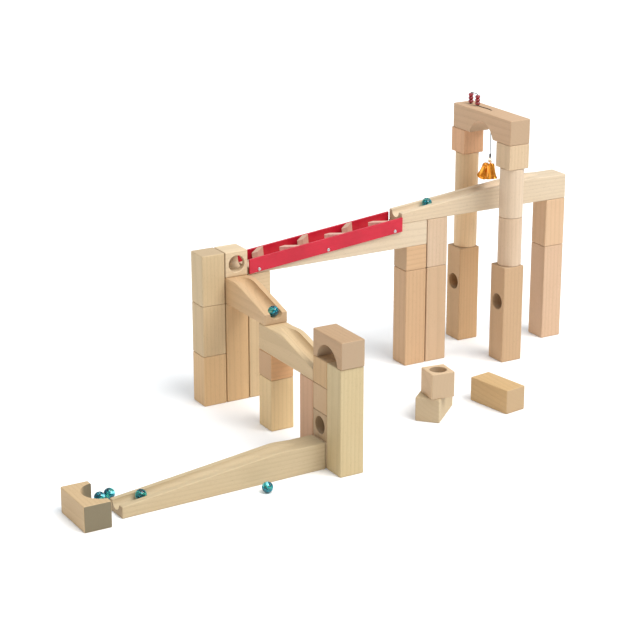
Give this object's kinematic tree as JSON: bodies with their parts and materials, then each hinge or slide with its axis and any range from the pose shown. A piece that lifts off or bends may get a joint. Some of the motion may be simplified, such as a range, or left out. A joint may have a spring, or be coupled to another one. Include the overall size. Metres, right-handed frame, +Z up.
{
  "type": "marble run",
  "caption": "Wooden block marble run: grooved ramps, a zigzag track with red side panels, bored cubes, block towers, a bell arch and glass marbles.",
  "frame": {"origin": "on the floor, at the middle of the whole set-up's plan", "axes": "+X runs up the long ramps from the catcher block to the last post, +Y from the floor ramp to the bell tower's back column, +Z up"},
  "size_m": [1.0154, 0.4386, 0.4198],
  "materials": {
    "beech": "sanded pale beech, unvarnished",
    "pale_wood": "sanded pale beech strip",
    "red_lacquer": "crimson lacquer on thin board",
    "screw_steel": "zinc-plated screws",
    "marble_glass": "teal glass with a swirl",
    "bell_metal": "polished, orange-gold",
    "clapper_metal": "plain steel",
    "ring_metal": "brass wire",
    "bead_red": "glossy dark red",
    "cord": "thin braided cord"
  },
  "bodies": {
    "blocks": {"arch_cord": "cord", "base_cube": "beech", "bell_arch": "beech", "bell_post_back": "beech", "bell_post_front": "beech", "capital_cube_back": "beech", "capital_cube_front": "beech", "catcher_block": "beech", "centre_block": "beech", "centre_cube": "beech", "centre_post_inner": "beech", "centre_post_outer": "beech", "cord_beads": "bead_red", "corner_post": "beech", "corner_tunnel_cube": "beech", "drop_tunnel_cube": "beech", "entry_tunnel_cube": "beech", "exit_tunnel_cube": "beech", "front_arch_block": "beech", "front_post": "beech", "inner_cube": "beech", "inner_post": "beech", "landing_post": "beech", "left_block_lower": "beech", "left_block_middle": "beech", "left_block_upper": "beech", "middle_block": "beech", "middle_cube": "beech", "ramp_long_lower": "beech", "ramp_long_upper": "beech", "ramp_short_lower": "beech", "ramp_short_upper": "beech", "right_block": "beech", "right_post": "beech", "round_column_lower_back": "beech", "round_column_lower_front": "beech", "round_column_upper_back": "beech", "round_column_upper_front": "beech", "spare_block_front": "beech", "spare_block_under": "beech", "spare_tunnel_cube": "beech", "zigzag_deflectors_far": "pale_wood", "zigzag_deflectors_near": "pale_wood", "zigzag_panel_far": "red_lacquer", "zigzag_panel_near": "red_lacquer", "zigzag_ramp": "beech", "zigzag_screws_far": "screw_steel", "zigzag_screws_near": "screw_steel"},
    "marble_upper_ramp": {"marble_upper_ramp": "marble_glass"},
    "marble_short_ramp": {"marble_short_ramp": "marble_glass"},
    "marble_floor_ramp": {"marble_floor_ramp": "marble_glass"},
    "marble_by_ramp": {"marble_by_ramp": "marble_glass"},
    "marble_by_catcher": {"marble_by_catcher": "marble_glass"},
    "marble_in_front": {"marble_in_front": "marble_glass"},
    "bell_string": {"bell_cord": "cord", "bell_ring": "ring_metal"},
    "bell_front": {"bell_front": "bell_metal"},
    "bell_rear": {"bell_rear": "bell_metal"},
    "clapper_front": {"clapper_front": "clapper_metal"},
    "clapper_rear": {"clapper_rear": "clapper_metal"}
  },
  "joints": [
    {"name": "upper_ramp_roll", "type": "slide", "parent": "blocks", "child": "marble_upper_ramp", "axis": [0.9932, 0, 0.1162], "range_m": [-0.05, 0.21]},
    {"name": "short_ramp_roll", "type": "slide", "parent": "blocks", "child": "marble_short_ramp", "axis": [0, 0.9653, 0.2611], "range_m": [-0.005, 0.1]},
    {"name": "floor_ramp_roll", "type": "slide", "parent": "blocks", "child": "marble_floor_ramp", "axis": [0.9927, 0.0321, 0.1162], "range_m": [-0.03, 0.22]},
    {"name": "loose_marble_roll", "type": "slide", "parent": "blocks", "child": "marble_by_ramp", "axis": [1, 0, 0], "range_m": [0, 0.25]},
    {"name": "catcher_marble_roll", "type": "slide", "parent": "blocks", "child": "marble_by_catcher", "axis": [0, 1, 0], "range_m": [0, 0.15]},
    {"name": "front_marble_roll", "type": "slide", "parent": "blocks", "child": "marble_in_front", "axis": [1, 0, 0], "range_m": [-0.18, 0.09]},
    {"name": "bell_string_swing", "type": "hinge", "parent": "blocks", "child": "bell_string", "pos_m": [0.36385, 0.1353, 0.384], "axis": [0, 1, 0], "range_deg": [-30, 30]},
    {"name": "bell_front_swing", "type": "hinge", "parent": "bell_string", "child": "bell_front", "pos_m": [0.36385, 0.13395, 0.3161], "axis": [1, 0, 0], "range_deg": [-35, 0]},
    {"name": "bell_rear_swing", "type": "hinge", "parent": "bell_string", "child": "bell_rear", "pos_m": [0.36385, 0.13756, 0.31674], "axis": [1, 0, 0], "range_deg": [0, 30]},
    {"name": "clapper_front_swing", "type": "hinge", "parent": "bell_front", "child": "clapper_front", "pos_m": [0.36385, 0.13292, 0.3108], "axis": [1, 0, 0], "range_deg": [-22, 2]},
    {"name": "clapper_rear_swing", "type": "hinge", "parent": "bell_rear", "child": "clapper_rear", "pos_m": [0.36385, 0.14526, 0.30754], "axis": [1, 0, 0], "range_deg": [0, 26]}
  ]
}
